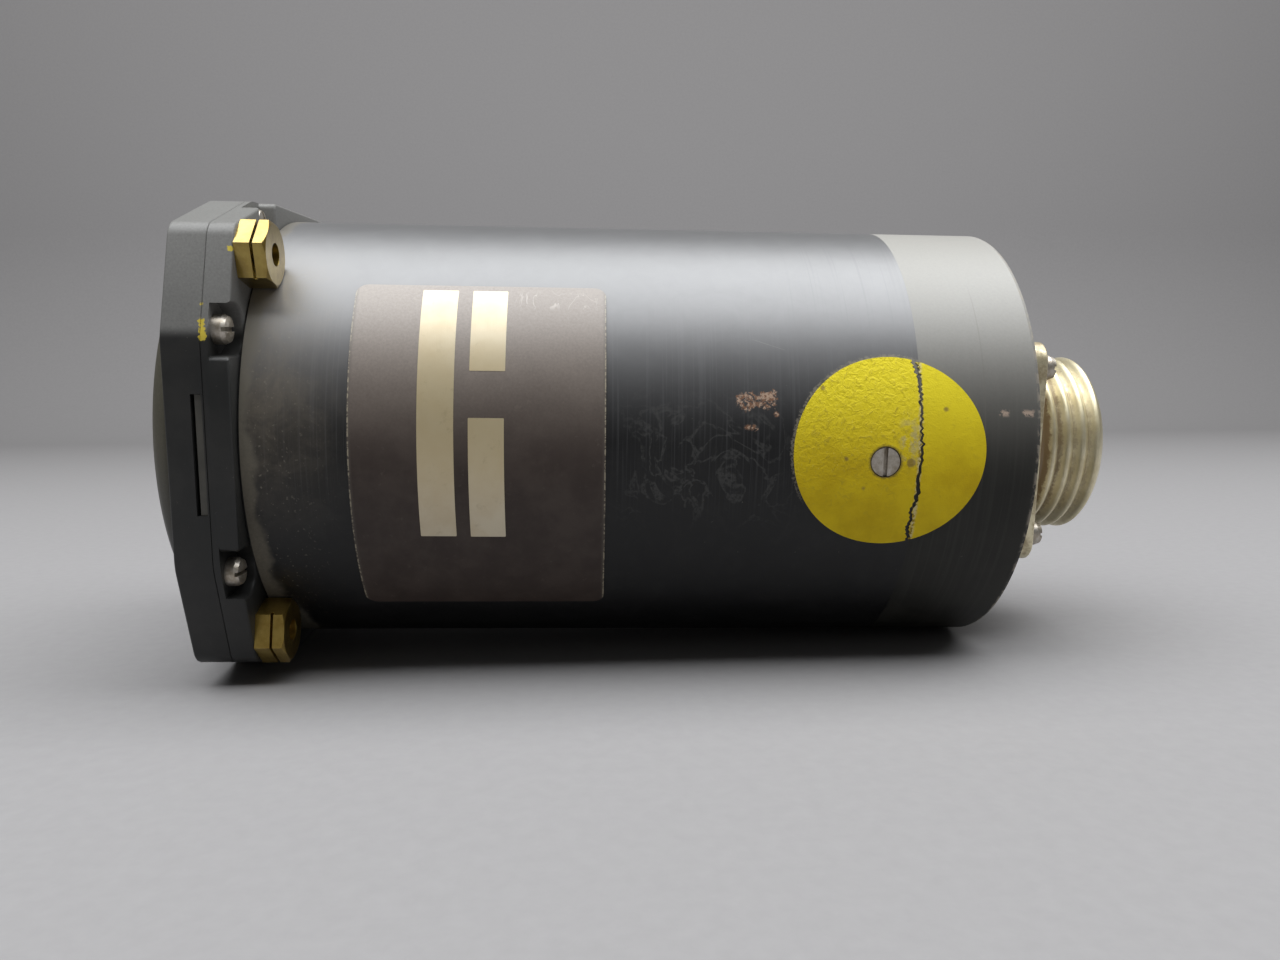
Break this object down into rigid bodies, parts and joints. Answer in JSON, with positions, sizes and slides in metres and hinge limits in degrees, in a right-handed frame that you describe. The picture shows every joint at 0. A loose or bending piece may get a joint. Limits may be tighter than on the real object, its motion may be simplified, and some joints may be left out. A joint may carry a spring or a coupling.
{
  "type": "radio magnetic indicator",
  "caption": "Panel-mounted aircraft radio magnetic indicator: square-flanged round case, turning compass card, two needles, warning flag, geared synchros and servo, rear threaded connector.",
  "frame": {"origin": "centre of the four mounting holes on the flange's front face, which seats against the instrument panel", "axes": "+X along the case towards the rear connector, +Z towards the top of the dial, -Y towards the pilot's right"},
  "size_m": [0.1679, 0.0826, 0.0826],
  "materials": {
    "flange_black": "satin black enamel with small yellow primer chips",
    "case_black": "smooth satin black anodised aluminium, scuffed",
    "cap_grey": "faded matt black, worn at the edge",
    "nut_brass": "tarnished brass",
    "screw_cadmium": "dull cadmium plate",
    "cover_glass": "clear",
    "gasket_rubber": "matt",
    "connector_metal": "plated alloy, grimy",
    "insert_rubber": "moulded",
    "contact_gold": "gold plated",
    "label_foil": "dark brown printed foil with bare silver windows",
    "seal_paper": "worn yellow paper",
    "tray_black": "matt",
    "lamp_glass": "clear",
    "dial_black": "matt black dial enamel with white marks",
    "needle_yellow": "matt yellow",
    "needle_white": "matt white",
    "flag_orange": "matt orange-red",
    "frame_aluminium": "clear anodised",
    "shaft_steel": "ground",
    "gear_brass": "hobbed",
    "bush_bronze": "sintered bronze",
    "synchro_steel": "satin",
    "board_laminate": "phenolic laminate",
    "component_cans": "drawn cans",
    "transformer_iron": "varnished laminations",
    "wire_insulation": "laced bundle"
  },
  "bodies": {
    "housing": {"front_bezel": "flange_black", "cover_glass": "cover_glass", "glass_gasket": "gasket_rubber", "snap_ring": "shaft_steel", "lamp_tray": "tray_black", "lamps": "lamp_glass", "mounting_plate": "flange_black", "mounting_nuts": "nut_brass", "flange_screws": "screw_cadmium", "case_gasket": "gasket_rubber", "cover_tube": "case_black", "rear_cap": "cap_grey", "cover_screws": "screw_cadmium", "cap_screws": "screw_cadmium", "data_plate": "label_foil", "inspection_seal": "seal_paper", "connector_gasket": "gasket_rubber", "connector_shell": "connector_metal", "connector_insert": "insert_rubber", "connector_contacts": "contact_gold", "connector_screws": "screw_cadmium", "index_ring": "dial_black", "flag_motor": "synchro_steel", "front_frame_plate": "frame_aluminium", "middle_frame_plate": "frame_aluminium", "rear_frame_plate": "frame_aluminium", "tie_rods": "shaft_steel", "frame_spacers": "frame_aluminium", "shaft_bushes": "bush_bronze", "heading_synchro": "synchro_steel", "single_needle_synchro": "synchro_steel", "double_needle_synchro": "synchro_steel", "servo_motor": "synchro_steel", "amplifier_board": "board_laminate", "amplifier_parts": "component_cans", "supply_board": "board_laminate", "supply_transformer": "transformer_iron", "wiring_loom": "wire_insulation"},
    "card": {"compass_card": "dial_black", "card_shaft": "shaft_steel"},
    "heading_rotor": {"heading_synchro_gear": "gear_brass"},
    "idler": {"idler_gears": "gear_brass"},
    "servo_rotor": {"servo_pinion": "shaft_steel"},
    "single_pointer": {"single_needle": "needle_yellow", "single_needle_shaft": "shaft_steel"},
    "double_pointer": {"double_needle": "needle_white", "double_needle_shaft": "shaft_steel"},
    "double_rotor": {"double_synchro_gear": "gear_brass"},
    "flag": {"warning_flag": "flag_orange"}
  },
  "joints": [
    {"name": "card_turn", "type": "hinge", "parent": "housing", "child": "card", "pos_m": [0.01, 0, 0], "axis": [1, 0, 0], "continuous": true},
    {"name": "heading_rotor_turn", "type": "hinge", "parent": "housing", "child": "heading_rotor", "pos_m": [0.02, -0.02078, -0.012], "axis": [1, 0, 0], "continuous": true},
    {"name": "idler_turn", "type": "hinge", "parent": "housing", "child": "idler", "pos_m": [0.02, 0.00898, 0.01294], "axis": [1, 0, 0], "continuous": true},
    {"name": "servo_turn", "type": "hinge", "parent": "housing", "child": "servo_rotor", "pos_m": [0.02, 0, 0.024], "axis": [1, 0, 0], "continuous": true},
    {"name": "single_needle_turn", "type": "hinge", "parent": "housing", "child": "single_pointer", "pos_m": [0.01, 0, 0], "axis": [1, 0, 0], "continuous": true},
    {"name": "double_needle_turn", "type": "hinge", "parent": "housing", "child": "double_pointer", "pos_m": [0.01, 0, 0], "axis": [1, 0, 0], "continuous": true},
    {"name": "double_rotor_turn", "type": "hinge", "parent": "housing", "child": "double_rotor", "pos_m": [0.02, 0.02078, -0.012], "axis": [1, 0, 0], "continuous": true},
    {"name": "flag_swing", "type": "hinge", "parent": "housing", "child": "flag", "pos_m": [0.005, -0.0207, 0.02467], "axis": [1, 0, 0], "range_deg": [0, 80], "stiffness_Nm_per_rad": 0.0001, "springref_deg": -28.65}
  ],
  "couplings": [
    {"joint": "heading_rotor_turn", "follows": "card_turn", "ratio": -1},
    {"joint": "idler_turn", "follows": "card_turn", "ratio": -3.2},
    {"joint": "servo_turn", "follows": "card_turn", "ratio": 8.96},
    {"joint": "double_rotor_turn", "follows": "double_needle_turn", "ratio": -1}
  ]
}
